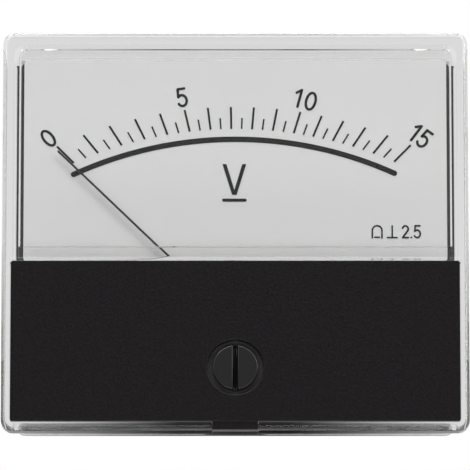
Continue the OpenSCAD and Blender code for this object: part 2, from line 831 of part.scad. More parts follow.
module bridge_screws() {
    color([0.68, 0.68, 0.69]) at(0, pivot_z) {
        both_sides(foot_screw_x, 0)
            screw(small_screw_d, small_head_d, small_head_t, bridge_t + small_screw_len, yoke_y - bridge_t);
        to_rear() both_sides(foot_screw_x, 0) screw(small_screw_d, small_head_d, small_head_t,
            bridge_t + plate_t + small_screw_len, yoke_y - plate_t - bridge_t);
    }
}

module jewel_screw() {
    at(0, pivot_z) difference() {
        rod(jewel_d, jewel_front_y, jewel_back_y);
        translate([-jewel_d, jewel_front_y - 1, -0.2]) cube([2 * jewel_d, 1.4, 0.4]);
        taper(0.2, 1.3, point_y - 0.15, jewel_back_y + 0.01);
    }
}

module jewel_screws() {
    color([0.8, 0.7, 0.42]) {
        jewel_screw();
        to_rear() jewel_screw();
    }
}

module jewel_nut() {
    at(0, pivot_z) difference() {
        rod(2.2 * jewel_d, nut_back_y - nut_t, nut_back_y, $fn = 6);
        rod(jewel_d, nut_back_y - 2, nut_back_y + 2);
    }
}

module jewel_nuts() {
    color([0.78, 0.66, 0.36]) {
        jewel_nut();
        to_rear() jewel_nut();
    }
}

// Ring on the jewel screw with a tab that holds the hairspring's outer end
module spring_arm() {
    tab_z = spring_r + spring_t / 2;
    at(0, pivot_z) {
        difference() {
            union() {
                rod(ring_d, arm_front_y, arm_back_y);
                translate([-spring_tab_w / 2, arm_front_y, 0])
                    cube([spring_tab_w, arm_t, tab_z + spring_tab_t]);
            }
            rod(jewel_d + 2 * run_gap, arm_front_y - 1, arm_back_y + 1);
        }
        translate([-spring_tab_w / 2, arm_front_y, tab_z])
            cube([spring_tab_w, collet_y + spring_w - arm_front_y, spring_tab_t]);
    }
}

// Bar from the ring down to the arm's end
module arm_bar(w, end) {
    translate([-w / 2, arm_front_y, -end]) cube([w, arm_t, end - ring_d / 2 + bite]);
}

module zero_arm() {
    color([0.8, 0.68, 0.38]) {
        spring_arm();
        at(0, pivot_z) difference() {
            arm_bar(arm_w, arm_end);
            translate([-fork_w / 2, arm_front_y - 1, -arm_end - 1]) cube([fork_w, arm_t + 2, 1 + fork_depth]);
        }
    }
}

module rear_spring_arm() {
    color([0.8, 0.68, 0.38]) to_rear() {
        spring_arm();
        at(0, pivot_z) arm_bar(arm_w / 2, rear_arm_end);
    }
}

// Flat spiral from the collet to the spring arm's tab, straight up from the pivot
module hairspring() {
    steps = turn_steps * spring_turns;
    inner = collet_d / 2 + spring_t / 2 + spring_gap;
    pitch = (spring_r - inner) / steps;
    points = [for (i = [0:steps]) [inner + pitch * i, 90 - 360 / turn_steps * (steps - i)]];
    edge = function (grow) [for (p = points) (p[0] + grow) * [cos(p[1]), sin(p[1])]];
    back = edge(-spring_t / 2);
    at(0, pivot_z) slab(collet_y, collet_y + spring_w)
        polygon(concat(edge(spring_t / 2), [for (i = [steps:-1:0]) back[i]]));
}

module front_hairspring() {
    color([0.82, 0.7, 0.4]) hairspring();
}

module rear_hairspring() {
    color([0.82, 0.7, 0.4]) to_rear() hairspring();
}

// Flat frame around the magnet, grown outwards from its inner edge
module coil_frame(inner, outer) {
    half_y = middle_y - coil_in_y;
    r = 0.6 + outer;
    at_rest() translate([0, middle_y, -coil_side / 2]) linear_extrude(coil_side) difference() {
        rounded(-coil_in_x - outer, coil_in_x + outer, -half_y - outer, half_y + outer, r);
        rounded(-coil_in_x - inner, coil_in_x + inner, -half_y - inner, half_y + inner, 0.6 + inner);
    }
}

module coil_former() {
    color([0.75, 0.76, 0.77]) coil_frame(0, former_t);
}

module coil_winding() {
    color([0.72, 0.38, 0.2]) coil_frame(former_t, former_t + winding_t);
}

module staff() {
    at(0, pivot_z) {
        rod(staff_foot_d, coil_out_y - staff_foot_t, coil_out_y);
        rod(staff_d, point_y + point_len, coil_out_y - staff_foot_t + bite);
        taper(0.1, staff_d, point_y, point_y + point_len);
        rod(collet_d, collet_y, collet_y + collet_len);
    }
}

module coil_staffs() {
    color([0.6, 0.6, 0.62]) {
        staff();
        to_rear() staff();
    }
}

module pointer() {
    y0 = needle_y - needle_t / 2;
    color([0.18, 0.18, 0.18]) at_rest() difference() {
        union() {
            rod(hub_d, needle_y - hub_len / 2, needle_y + hub_len / 2);
            translate([-needle_w / 2, y0, 0]) cube([needle_w, needle_t, needle_len]);
            translate([-cross_w / 2, y0, -tail_len]) cube([cross_w, needle_t, tail_len]);
            translate([-side_arm_len, y0, -cross_w / 2]) cube([2 * side_arm_len, needle_t, cross_w]);
        }
        rod(staff_d, needle_y - 2, needle_y + 2);
    }
}

// Weight around an arm of the balance cross, which runs up from the hub
module weight(d, len, end) {
    translate([0, needle_y, end - len]) difference() {
        cylinder(d = d, h = len);
        translate([-cross_w / 2, -needle_t / 2, -1]) cube([cross_w, needle_t, len + 2]);
    }
}

module balance_weights() {
    color([0.7, 0.68, 0.6]) at_rest() {
        rotate([0, 180, 0]) weight(tail_weight_d, tail_weight_len, tail_len - weight_inset);
        for (turn = [-90, 90]) rotate([0, turn, 0])
            weight(side_weight_d, side_weight_len, side_arm_len - weight_inset);
    }
}

module series_resistor() {
    end = resistor_len / 2 - resistor_cap / 2;
    color([0.3, 0.5, 0.6]) translate([resistor_x, resistor_y, resistor_z]) {
        cylinder(d = resistor_d - 0.4, h = resistor_len, center = true);
        for (z = [-end, end]) translate([0, 0, z]) cylinder(d = resistor_d, h = resistor_cap, center = true);
    }
}

module resistor_leads() {
    right_tag = [post_spacing / 2, rear_in_y - tag_t, -tag_len];
    rear_arm = [0, 2 * middle_y - arm_front_y + lead_d / 2, pivot_z - rear_arm_end + 0.8];
    top = [resistor_x, resistor_y, resistor_z + resistor_len / 2];
    low = [resistor_x, resistor_y, resistor_z - resistor_len / 2];
    color([0.75, 0.74, 0.7]) {
        wire(bend(top, [0, 0, 4], [0, 3, 0], right_tag), lead_d, [1, 0, 0]);
        wire(bend(low, [0, 0, -3], [-5, 0, 0], rear_arm), lead_d, [0, 1, 0]);
    }
}

module supply_lead() {
    left_tag = [-post_spacing / 2, rear_in_y - tag_t, -tag_len];
    plate_edge = [-boss_x + boss_d, plate_back_y, boss_z];
    color([0.6, 0.12, 0.1]) wire(bend(plate_edge, [0, 8, 0], [0, 6, 0], left_tag), wire_d, [0, 0, 1]);
}

front_cover();
front_mask();
zero_adjuster();
adjuster_clip();
dial_plate();
scale_print();
dial_screws();
pointer_stops();
rear_housing();
cover_screws();
mounting_studs();
terminal_posts();
terminal_tags();
post_washers();
post_nuts();
wire_washers();
wire_nuts();
movement_plate();
movement_screws();
yoke_ring();
core_magnet();
core_spacers();
front_bridge();
rear_bridge();
bridge_screws();
jewel_screws();
jewel_nuts();
zero_arm();
rear_spring_arm();
front_hairspring();
rear_hairspring();
coil_former();
coil_winding();
coil_staffs();
pointer();
balance_weights();
series_resistor();
resistor_leads();
supply_lead();
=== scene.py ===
"""Analog panel voltmeter: the finish of each piece, in the order in which the meter is put together."""

import json

import bmesh
import bpy
import numpy as np
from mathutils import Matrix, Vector

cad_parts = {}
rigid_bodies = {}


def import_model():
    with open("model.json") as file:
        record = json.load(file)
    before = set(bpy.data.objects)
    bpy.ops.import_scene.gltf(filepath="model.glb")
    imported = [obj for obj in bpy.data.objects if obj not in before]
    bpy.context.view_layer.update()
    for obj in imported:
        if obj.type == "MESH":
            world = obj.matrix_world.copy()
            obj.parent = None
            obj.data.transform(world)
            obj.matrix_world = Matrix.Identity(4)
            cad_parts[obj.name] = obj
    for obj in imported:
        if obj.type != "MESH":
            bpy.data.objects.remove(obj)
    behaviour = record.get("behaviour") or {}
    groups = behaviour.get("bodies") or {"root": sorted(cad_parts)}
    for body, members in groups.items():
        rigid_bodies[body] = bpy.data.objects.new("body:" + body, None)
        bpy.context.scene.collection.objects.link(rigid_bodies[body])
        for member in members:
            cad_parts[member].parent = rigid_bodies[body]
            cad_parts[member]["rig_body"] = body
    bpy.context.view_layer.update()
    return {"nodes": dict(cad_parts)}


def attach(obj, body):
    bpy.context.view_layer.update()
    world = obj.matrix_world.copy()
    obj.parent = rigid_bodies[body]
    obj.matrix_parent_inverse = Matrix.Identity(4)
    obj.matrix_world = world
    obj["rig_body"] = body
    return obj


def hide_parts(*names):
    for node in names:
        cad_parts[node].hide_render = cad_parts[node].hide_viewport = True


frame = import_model()

# Rear housing: flange plate, round barrel and narrower drum, moulded in one piece from black ABS.
# The tool was spark-eroded, so the outside has a fine even grain. The rest is fixed to the housing or in it.
# Sizes are in millimetres here and below, and MM turns them into Blender's metres.
MM = 0.001
HOUSING_GRAIN = 0.3
HOUSING_FLOW = 14
HOUSING_EDGE = 0.25
SAME_POINT = 0.001 * MM
SAME_FLAT = 0.002  # radians between two faces that count as one flat face
SHARP_ANGLE = 32  # degrees from which an edge of a CAD piece shows as an edge
EASED_ANGLE = 40  # degrees from which such an edge is eased
FILLET_STEPS = 4
FLAT_FACE_WEIGHT = 100
COLOUR_A, COLOUR_B, COLOUR_OUT = 6, 7, 2  # the sockets of a Mix node that mixes colours
cad = frame["nodes"]


def linear(hex_colour):
    """sRGB hex to linear RGBA."""
    srgb = np.array([int(hex_colour[i : i + 2], 16) for i in (1, 3, 5)]) / 255
    rgb = np.where(srgb <= 0.04045, srgb / 12.92, ((srgb + 0.055) / 1.055) ** 2.4)
    return (*rgb, 1.0)


def add(tree, kind, sockets=(), **settings):
    """Adds one node: settings are its properties, sockets its inputs, each a value or an output to link."""
    made = tree.nodes.new(kind)
    for name, value in settings.items():
        setattr(made, name, value)
    for name, value in dict(sockets).items():
        if isinstance(value, bpy.types.NodeSocket):
            tree.links.new(value, made.inputs[name])
        else:
            made.inputs[name].default_value = value
    return made


def material(name):
    """An empty node material, and its tree."""
    made = bpy.data.materials.new(name)
    made.use_nodes = True
    made.node_tree.nodes.clear()
    return made, made.node_tree


def finished(name, mesh, finish, body, sharp):
    """An object from a mesh, smooth except at edges of an angle in degrees or more, riding on a body."""
    mesh.materials.clear()
    mesh.materials.append(finish)
    mesh.polygons.foreach_set("use_smooth", np.ones(len(mesh.polygons), bool))
    mesh.set_sharp_from_angle(angle=np.radians(sharp))
    made = bpy.data.objects.new(name, mesh)
    bpy.context.scene.collection.objects.link(made)
    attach(made, body)
    return made


def dressed_copy(node, finish, edge, steps=2, fillet=0.0, inner=None):
    """A merged copy of a CAD node with eased edges, which stands for it. Edges that inner picks are rounded
    to the fillet."""
    mesh = cad[node].data.copy()
    work = bmesh.new()
    work.from_mesh(mesh)
    bmesh.ops.remove_doubles(work, verts=work.verts, dist=SAME_POINT)
    bmesh.ops.dissolve_limit(work, angle_limit=SAME_FLAT, verts=work.verts, edges=work.edges)
    if inner:
        bmesh.ops.bevel(
            work,
            geom=[line for line in work.edges if inner(line)],
            offset=fillet * MM,
            segments=FILLET_STEPS,
            profile=0.5,
            affect="EDGES",
        )
    work.to_mesh(mesh)
    work.free()
    made = finished(node + "_finished", mesh, finish, cad[node]["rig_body"], SHARP_ANGLE)
    bevel = made.modifiers.new("eased_edges", "BEVEL")
    bevel.width = edge * MM
    bevel.segments = steps
    bevel.limit_method = "ANGLE"
    bevel.angle_limit = np.radians(EASED_ANGLE)
    flats = made.modifiers.new("flat_faces_stay_flat", "WEIGHTED_NORMAL")
    flats.weight = FLAT_FACE_WEIGHT
    flats.keep_sharp = True
    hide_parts(node)


# ABS from a spark-eroded tool: near black and satin, with a grain that breaks up the highlight and a sheen
# that drifts with the flow of the melt.
black_abs, tree = material("black_abs_spark_eroded")
place = add(tree, "ShaderNodeTexCoord").outputs["Object"]
grain = add(tree, "ShaderNodeTexNoise", {"Vector": place, "Scale": 1 / (HOUSING_GRAIN * MM), "Detail": 3.0})
flow = add(tree, "ShaderNodeTexNoise", {"Vector": place, "Scale": 1 / (HOUSING_FLOW * MM), "Detail": 2.0})
sheen = add(tree, "ShaderNodeMapRange", {"Value": flow.outputs["Fac"], "To Min": 0.4, "To Max": 0.52})
relief = add(
    tree,
    "ShaderNodeBump",
    {"Height": grain.outputs["Fac"], "Strength": 0.22, "Distance": 0.03 * MM},
)
tint = add(
    tree,
    "ShaderNodeMix",
    {"Factor": flow.outputs["Fac"], COLOUR_A: linear("#171718"), COLOUR_B: linear("#1e1e1f")},
    data_type="RGBA",
)
plastic = add(
    tree,
    "ShaderNodeBsdfPrincipled",
    {
        "Base Color": tint.outputs[COLOUR_OUT],
        "Roughness": sheen.outputs[0],
        "IOR": 1.53,
        "Specular IOR Level": 0.3,
        "Normal": relief.outputs[0],
    },
)
add(tree, "ShaderNodeOutputMaterial", {"Surface": plastic.outputs[0]})
dressed_copy("rear_housing", black_abs, edge=HOUSING_EDGE)

# Mounting studs: four M3 steel studs, zinc plated, pressed through the flange from the front so that their
# flat heads lie in its face. The thread behind the panel is rolled, and its end is chamfered.
STUD_X, STUD_Z = 26, 22
STUD_HEAD = (-2.6, -1.4, 2.5)  # first y, last y and radius, as in the next two
STUD_NECK = (-1.4, 0.0, 1.7)
STUD_SHANK = (0.0, 14.0, 1.5)
STUD_CHAMFER = 0.4
STUD_PITCH = 0.5
STUD_THREAD_DEPTH = 0.3
STUD_THREAD_START = 0.3
THREAD_RUN_OUT = 0.1
STEPS_PER_PITCH = 6
THREAD_SHARP_ANGLE = 60
ZINC_CLOUD = 1.6
SAME_SHELL_POINT = 1e-7  # metres


def turned(centre, y, r, thread, pitch, depth, around=32):
    """Surface of revolution about an axis along Y through centre, radius r at each y, with a rolled thread:
    radius = r - thread * depth * (1 - cos(2 pi (y / pitch - turn))) / 2, closed by a point at each end."""
    turn = np.arange(around) / around
    wave = 0.5 - 0.5 * np.cos(2 * np.pi * (y[:, None] / pitch - turn[None, :]))
    radius = r[:, None] - thread[:, None] * depth * wave
    x = centre[0] + radius * np.cos(2 * np.pi * turn)
    z = centre[1] + radius * np.sin(2 * np.pi * turn)
    points = np.stack([x, np.broadcast_to(y[:, None], x.shape), z], axis=-1).reshape(-1, 3)
    ends = np.array([[centre[0], y[0], centre[1]], [centre[0], y[-1], centre[1]]])
    row = np.arange(len(y) - 1)[:, None] * around
    here = np.arange(around)
    after = (here + 1) % around
    sides = np.stack([row + here, row + around + here, row + around + after, row + after], axis=-1)
    first = np.stack([np.full(around, len(points)), here, after], axis=-1)
    top = (len(y) - 1) * around
    last = np.stack([np.full(around, len(points) + 1), top + after, top + here], axis=-1)
    return np.vstack([points, ends]) * MM, [sides.reshape(-1, 4), first, last]


def screw(centre, head, neck, shank, chamfer, pitch, depth, thread_start):
    """Turned profile of a screw: flat head, plain neck, and a threaded shank that loses the chamfer's height
    from its radius over the same length at its end."""
    chamfer_y = shank[1] - chamfer
    rows = np.arange(shank[0], chamfer_y, pitch / STEPS_PER_PITCH)
    y = np.concatenate([[head[0], head[0], head[1], neck[0], neck[1]], rows, [chamfer_y, shank[1]]])
    shank_r = np.full(len(rows), shank[2])
    r = np.concatenate([[0, head[2], head[2], neck[2], neck[2]], shank_r, [shank[2], shank[2] - chamfer]])
    thread = np.where((y > thread_start) & (y < shank[1] - THREAD_RUN_OUT), 1.0, 0.0)
    return turned(centre, y, r, thread, pitch, depth)


def placed(name, shells, finish, node=None, sharp=40):
    """One mesh on the base from several shells, each of points and blocks of faces, with normals outwards."""
    points, faces, count = [], [], 0
    for shell_points, blocks in shells:
        points.append(shell_points)
        for block in blocks:
            faces += (block + count).tolist()
        count += len(shell_points)
    mesh = bpy.data.meshes.new(name)
    mesh.from_pydata(np.vstack(points).tolist(), [], faces)
    work = bmesh.new()
    work.from_mesh(mesh)
    bmesh.ops.remove_doubles(work, verts=work.verts, dist=SAME_SHELL_POINT)
    bmesh.ops.recalc_face_normals(work, faces=work.faces)
    work.to_mesh(mesh)
    work.free()
    made = finished(name, mesh, finish, "base", sharp)
    if node:
        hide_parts(node)


# Bright zinc on steel: a cool grey metal with slightly cloudy plating, and a faint warm passivated tint.
zinc, tree = material("bright_zinc_plated_steel")
place = add(tree, "ShaderNodeTexCoord").outputs["Object"]
cloud = add(tree, "ShaderNodeTexNoise", {"Vector": place, "Scale": 1 / (ZINC_CLOUD * MM), "Detail": 4.0})
tint = add(
    tree,
    "ShaderNodeMix",
    {"Factor": cloud.outputs["Fac"], COLOUR_A: linear("#b9bab8"), COLOUR_B: linear("#d3cfc2")},
    data_type="RGBA",
)
dull = add(tree, "ShaderNodeMapRange", {"Value": cloud.outputs["Fac"], "To Min": 0.2, "To Max": 0.38})
metal = add(
    tree,
    "ShaderNodeBsdfPrincipled",
    {"Base Color": tint.outputs[COLOUR_OUT], "Metallic": 1.0, "Roughness": dull.outputs[0]},
)
add(tree, "ShaderNodeOutputMaterial", {"Surface": metal.outputs[0]})

studs = [
    screw(
        (x, z),
        STUD_HEAD,
        STUD_NECK,
        STUD_SHANK,
        STUD_CHAMFER,
        STUD_PITCH,
        STUD_THREAD_DEPTH,
        STUD_THREAD_START,
    )
    for x in (-STUD_X, STUD_X)
    for z in (-STUD_Z, STUD_Z)
]
placed("mounting_studs_threaded", studs, zinc, "mounting_studs", THREAD_SHARP_ANGLE)

# Terminals: two M4 brass posts through the rear wall, each with a solder tag inside, and outside a plated
# washer and a brass nut that hold it, then the washer and nut that clamp the wire.
POST_X = 12.5
POST_HEAD = (24.2, 25.6, 3.3)
POST_NECK = (25.6, 28.2, 2.0)
POST_SHANK = (28.4, 44.0, 2.0)
POST_CHAMFER = 0.5
POST_PITCH = 0.7
POST_THREAD_DEPTH = 0.42
POST_THREAD_START = 28.3
NUT_ACROSS = 7.0
NUT_TALL = 3.2
NUT_BORE_R = 2.0
POST_NUT_Y = 29.6
WIRE_NUT_Y = 33.6
NUT_CHAMFER_ROWS = np.array([0.0, 0.08, 0.16, 0.26, 0.4])  # depths below each end face
NUT_CHAMFER_START = 0.97  # share of the hexagon's inner radius that each end face keeps
NUT_CHAMFER_SLOPE = 0.577  # the tangent of 30 degrees
NUT_BORE_LIP = 0.25
NUT_SHARP_ANGLE = 25
WASHER_EDGE = 0.12
BRASS_TARNISH = 2.5
BRASS_MARKS = 0.2961
WAVE_LENGTH = 2 * np.pi / 20  # length of one band of a Wave node at a scale of 1


def hex_nut(centre, y0, y1, across, bore, around=96):
    """Hexagon nut with turned chamfers. The side's radius at each angle is the smaller of the hexagon's,
    across / 2 / cos(angle to the nearest flat), and the chamfer cone's, which grows from each end face."""
    turn = np.arange(around) / around * 2 * np.pi
    flat = across / 2 / np.cos((turn + np.pi / 6) % (np.pi / 3) - np.pi / 6)
    inset = NUT_CHAMFER_ROWS
    side_y = np.concatenate([y0 + inset, y1 - inset[::-1]])
    cone = across / 2 * NUT_CHAMFER_START + np.concatenate([inset, inset[::-1]]) / NUT_CHAMFER_SLOPE
    side_r = np.minimum(cone[:, None], flat[None, :])
    bore_y = np.array([y1, y1 - NUT_BORE_LIP, y0 + NUT_BORE_LIP, y0])
    bore_r = np.array([bore + NUT_BORE_LIP, bore, bore, bore + NUT_BORE_LIP])
    y = np.concatenate([side_y, bore_y])
    radius = np.vstack([side_r, np.broadcast_to(bore_r[:, None], (len(bore_r), around))])
    x = centre[0] + radius * np.cos(turn)
    z = centre[1] + radius * np.sin(turn)
    points = np.stack([x, np.broadcast_to(y[:, None], x.shape), z], axis=-1).reshape(-1, 3)
    row = np.arange(len(y))[:, None]
    near = row * around
    far = (row + 1) % len(y) * around
    here = np.arange(around)[None, :]
    after = (here + 1) % around
    faces = np.stack([near + here, far + here, far + after, near + after], axis=-1)
    return points * MM, [faces.reshape(-1, 4)]


def repaint(finish, *nodes):
    """Gives their finish to CAD nodes that show as they are."""
    for node in nodes:
        cad[node].data.materials.clear()
        cad[node].data.materials.append(finish)


# Turned brass, left bare: warm yellow with a little tarnish and fine turning marks. The marks are drawn about
# 0.3 mm apart, coarser than real ones, so that they show.
brass, tree = material("turned_brass")
place = add(tree, "ShaderNodeTexCoord").outputs["Object"]
tarnish = add(tree, "ShaderNodeTexNoise", {"Vector": place, "Scale": 1 / (BRASS_TARNISH * MM), "Detail": 4.0})
tint = add(
    tree,
    "ShaderNodeMix",
    {"Factor": tarnish.outputs["Fac"], COLOUR_A: linear("#c9a857"), COLOUR_B: linear("#b18f4a")},
    data_type="RGBA",
)
dull = add(tree, "ShaderNodeMapRange", {"Value": tarnish.outputs["Fac"], "To Min": 0.2, "To Max": 0.4})
marks = add(
    tree,
    "ShaderNodeTexWave",
    {"Vector": place, "Scale": WAVE_LENGTH / (BRASS_MARKS * MM), "Distortion": 0.6},
    bands_direction="Y",
)
relief = add(
    tree,
    "ShaderNodeBump",
    {"Height": marks.outputs["Fac"], "Strength": 0.12, "Distance": 0.01 * MM},
)
metal = add(
    tree,
    "ShaderNodeBsdfPrincipled",
    {
        "Base Color": tint.outputs[COLOUR_OUT],
        "Metallic": 1.0,
        "Roughness": dull.outputs[0],
        "Normal": relief.outputs[0],
    },
)
add(tree, "ShaderNodeOutputMaterial", {"Surface": metal.outputs[0]})

posts = [
    screw(
        (x, 0),
        POST_HEAD,
        POST_NECK,
        POST_SHANK,
        POST_CHAMFER,
        POST_PITCH,
        POST_THREAD_DEPTH,
        POST_THREAD_START,
    )
    for x in (-POST_X, POST_X)
]
placed("terminal_posts_threaded", posts, brass, "terminal_posts", THREAD_SHARP_ANGLE)
for node, low in (("post_nuts", POST_NUT_Y), ("wire_nuts", WIRE_NUT_Y)):
    nuts = [hex_nut((x, 0), low, low + NUT_TALL, NUT_ACROSS, NUT_BORE_R) for x in (-POST_X, POST_X)]
    placed(node + "_chamfered", nuts, brass, node, NUT_SHARP_ANGLE)
for node in ("post_washers", "wire_washers"):
    dressed_copy(node, zinc, edge=WASHER_EDGE)
repaint(zinc, "terminal_tags")

# Movement: soft-iron yoke ring around a cylinder magnet, on a plated plate screwed to the housing's bosses.
# Brass bridges carry the jewel screws, the hairsprings and the zero arm. The screws of the dial and the cover
# and the adjuster's clip are plated as the plate is.
IRON_MOTTLE = 0.9

# Soft iron with dull zinc: mid grey, softly mottled, satin.
soft_iron, tree = material("dull_zinc_soft_iron")
place = add(tree, "ShaderNodeTexCoord").outputs["Object"]
mottle = add(tree, "ShaderNodeTexNoise", {"Vector": place, "Scale": 1 / (IRON_MOTTLE * MM), "Detail": 5.0})
tint = add(
    tree,
    "ShaderNodeMix",
    {"Factor": mottle.outputs["Fac"], COLOUR_A: linear("#75777a"), COLOUR_B: linear("#8e9092")},
    data_type="RGBA",
)
metal = add(
    tree,
    "ShaderNodeBsdfPrincipled",
    {"Base Color": tint.outputs[COLOUR_OUT], "Metallic": 1.0, "Roughness": 0.45},
)
add(tree, "ShaderNodeOutputMaterial", {"Surface": metal.outputs[0]})
repaint(soft_iron, "yoke_ring", "core_magnet")
repaint(zinc, "movement_plate", "movement_screws", "bridge_screws")
repaint(zinc, "cover_screws", "dial_screws", "adjuster_clip")
repaint(brass, "core_spacers", "front_bridge", "rear_bridge", "jewel_screws", "jewel_nuts")
repaint(brass, "zero_arm", "rear_spring_arm", "front_hairspring", "rear_hairspring")
repaint(brass, "balance_weights", "pointer_stops")

# Moving coil: enamelled copper wire wound on a thin aluminium former, which hangs between the jewels on two
# hardened steel staffs.
COIL_TURNS = 0.1974

# Enamelled wire: reddish brown with a varnished shine. The turns lie side by side, and are drawn about 0.2 mm
# apart, coarser than real ones, so that they show.
copper, tree = material("enamelled_copper_winding")
place = add(tree, "ShaderNodeTexCoord").outputs["Object"]
turns = add(
    tree,
    "ShaderNodeTexWave",
    {"Vector": place, "Scale": WAVE_LENGTH / (COIL_TURNS * MM), "Distortion": 0.4},
    bands_direction="Z",
)
relief = add(tree, "ShaderNodeBump", {"Height": turns.outputs["Fac"], "Strength": 0.5, "Distance": 0.04 * MM})
tint = add(
    tree,
    "ShaderNodeMix",
    {"Factor": turns.outputs["Fac"], COLOUR_A: linear("#8a4a26"), COLOUR_B: linear("#b8673a")},
    data_type="RGBA",
)
metal = add(
    tree,
    "ShaderNodeBsdfPrincipled",
    {"Base Color": tint.outputs[COLOUR_OUT], "Metallic": 0.7, "Roughness": 0.3, "Normal": relief.outputs[0]},
)
add(tree, "ShaderNodeOutputMaterial", {"Surface": metal.outputs[0]})
repaint(copper, "coil_winding")
repaint(zinc, "coil_former")
repaint(soft_iron, "coil_staffs")

# Needle: thin aluminium blade in one piece with its hub and balance cross, pressed on the front staff and
# lacquered black.
NEEDLE_COAT = 0.8
NEEDLE_EDGE = 0.03

# Matte black lacquer: a thin coat, dull and slightly uneven.
needle_black, tree = material("matte_black_lacquer")
place = add(tree, "ShaderNodeTexCoord").outputs["Object"]
coat = add(tree, "ShaderNodeTexNoise", {"Vector": place, "Scale": 1 / (NEEDLE_COAT * MM), "Detail": 3.0})
dull = add(tree, "ShaderNodeMapRange", {"Value": coat.outputs["Fac"], "To Min": 0.5, "To Max": 0.65})
lacquer = add(
    tree,
    "ShaderNodeBsdfPrincipled",
    {"Base Color": linear("#131314"), "Roughness": dull.outputs[0], "Specular IOR Level": 0.3},
)
add(tree, "ShaderNodeOutputMaterial", {"Surface": lacquer.outputs[0]})
dressed_copy("pointer", needle_black, edge=NEEDLE_EDGE)

# Series resistor and wires: a dipped resistor hangs on its tinned leads between the right terminal's tag and
# the rear spring arm. A red insulated wire joins the left tag to the movement's plate.
RESISTOR_PATCH = 1.5
SLEEVE_PATCH = 1.2

# Resistor lacquer: glossy grey blue, a little cloudy. PVC sleeve: dull dark red with a soft shine.
for name, patch, darker, lighter, roughness, node in (
    ("gloss_resistor_lacquer", RESISTOR_PATCH, "#3f7d9a", "#4f8fab", 0.25, "series_resistor"),
    ("red_pvc_insulation", SLEEVE_PATCH, "#8d1f1b", "#a32a22", 0.42, "supply_lead"),
):
    skin, tree = material(name)
    place = add(tree, "ShaderNodeTexCoord").outputs["Object"]
    cloud = add(tree, "ShaderNodeTexNoise", {"Vector": place, "Scale": 1 / (patch * MM)})
    tint = add(
        tree,
        "ShaderNodeMix",
        {"Factor": cloud.outputs["Fac"], COLOUR_A: linear(darker), COLOUR_B: linear(lighter)},
        data_type="RGBA",
    )
    surface = add(
        tree,
        "ShaderNodeBsdfPrincipled",
        {"Base Color": tint.outputs[COLOUR_OUT], "Roughness": roughness},
    )
    add(tree, "ShaderNodeOutputMaterial", {"Surface": surface.outputs[0]})
    repaint(skin, node)
repaint(zinc, "resistor_leads")

# Dial: aluminium sheet, sprayed matte white and held on the flange by two screws behind the mask.
# The needle swings in front of it, and its lower middle is cut away around the movement's front bridge.
DIAL_PEEL = 1.0
DIAL_DRIFT = 30
DIAL_EDGE = 0.02

# Sprayed enamel: a nearly neutral off-white, matte, with the faint orange peel of a spray gun.
dial_white, tree = material("matte_white_enamel_on_aluminium")
place = add(tree, "ShaderNodeTexCoord").outputs["Object"]
peel = add(tree, "ShaderNodeTexNoise", {"Vector": place, "Scale": 1 / (DIAL_PEEL * MM), "Detail": 2.0})
drift = add(tree, "ShaderNodeTexNoise", {"Vector": place, "Scale": 1 / (DIAL_DRIFT * MM), "Detail": 1.0})
tint = add(
    tree,
    "ShaderNodeMix",
    {"Factor": drift.outputs["Fac"], COLOUR_A: linear("#e3e4e3"), COLOUR_B: linear("#e7e8e7")},
    data_type="RGBA",
)
relief = add(tree, "ShaderNodeBump", {"Height": peel.outputs["Fac"], "Strength": 0.06, "Distance": 0.02 * MM})
paint = add(
    tree,
    "ShaderNodeBsdfPrincipled",
    {"Base Color": tint.outputs[COLOUR_OUT], "Roughness": 0.6, "Normal": relief.outputs[0]},
)
add(tree, "ShaderNodeOutputMaterial", {"Surface": paint.outputs[0]})
dressed_copy("dial_plate", dial_white, edge=DIAL_EDGE)

# Dial print: the scale, numbers at every fifth volt that tilt along it, the underlined V, and the small signs
# for a moving coil, upright use and accuracy. All are screen printed on the paint in one pass of black ink,
# and the figures are even strokes with round ends.
DIAL_FACE = -3.2
INK_THICK = 0.05
INK_FACE = DIAL_FACE - INK_THICK
INK_FILM = 0.4
FIGURE_TALL = 2.72
FIGURE_LINE = 0.36
SIGN_TALL = 1.85
SIGN_LINE = 0.22
SIGN_Z = 1.36
ACCURACY_LINE = 0.24
POINT_LINE = 0.25
VOLT_AT = (-0.13, -0.07)
VOLT_ARM = np.array([(-1.645, 11.03), (-1.095, 11.03), (0.0, 7.37), (0.0, 6.66), (-0.31, 6.66)])
UNDERLINE_LONG = 2.96
UNDERLINE_LINE = 0.44
UNDERLINE_AT = (-0.13, 5.84)

# Screen-printed ink: dense black, matte, with slight unevenness in the film.
dial_ink, tree = material("screen_printed_black_ink")
place = add(tree, "ShaderNodeTexCoord").outputs["Object"]
film = add(tree, "ShaderNodeTexNoise", {"Vector": place, "Scale": 1 / (INK_FILM * MM), "Detail": 2.0})
tint = add(
    tree,
    "ShaderNodeMix",
    {"Factor": film.outputs["Fac"], COLOUR_A: linear("#080808"), COLOUR_B: linear("#121211")},
    data_type="RGBA",
)
ink = add(
    tree,
    "ShaderNodeBsdfPrincipled",
    {"Base Color": tint.outputs[COLOUR_OUT], "Roughness": 0.65, "Specular IOR Level": 0.1},
)
add(tree, "ShaderNodeOutputMaterial", {"Surface": ink.outputs[0]})
repaint(dial_ink, "scale_print")


def arc(cx, cz, rx, rz, start, end, count=24):
    """Points of an elliptic arc, centre + (rx cos a, rz sin a), with a from start to end in degrees."""
    a = np.radians(np.linspace(start, end, count))
    return np.stack([cx + rx * np.cos(a), cz + rz * np.sin(a)], axis=-1)


def straight(*points, count=12):
    """Straight runs from point to point, each divided evenly."""
    points = np.asarray(points, float)
    share = np.linspace(0, 1, count)[:, None]
    runs = [a + (b - a) * share for a, b in zip(points[:-1], points[1:])]
    return np.vstack([runs[0]] + [run[1:] for run in runs[1:]])


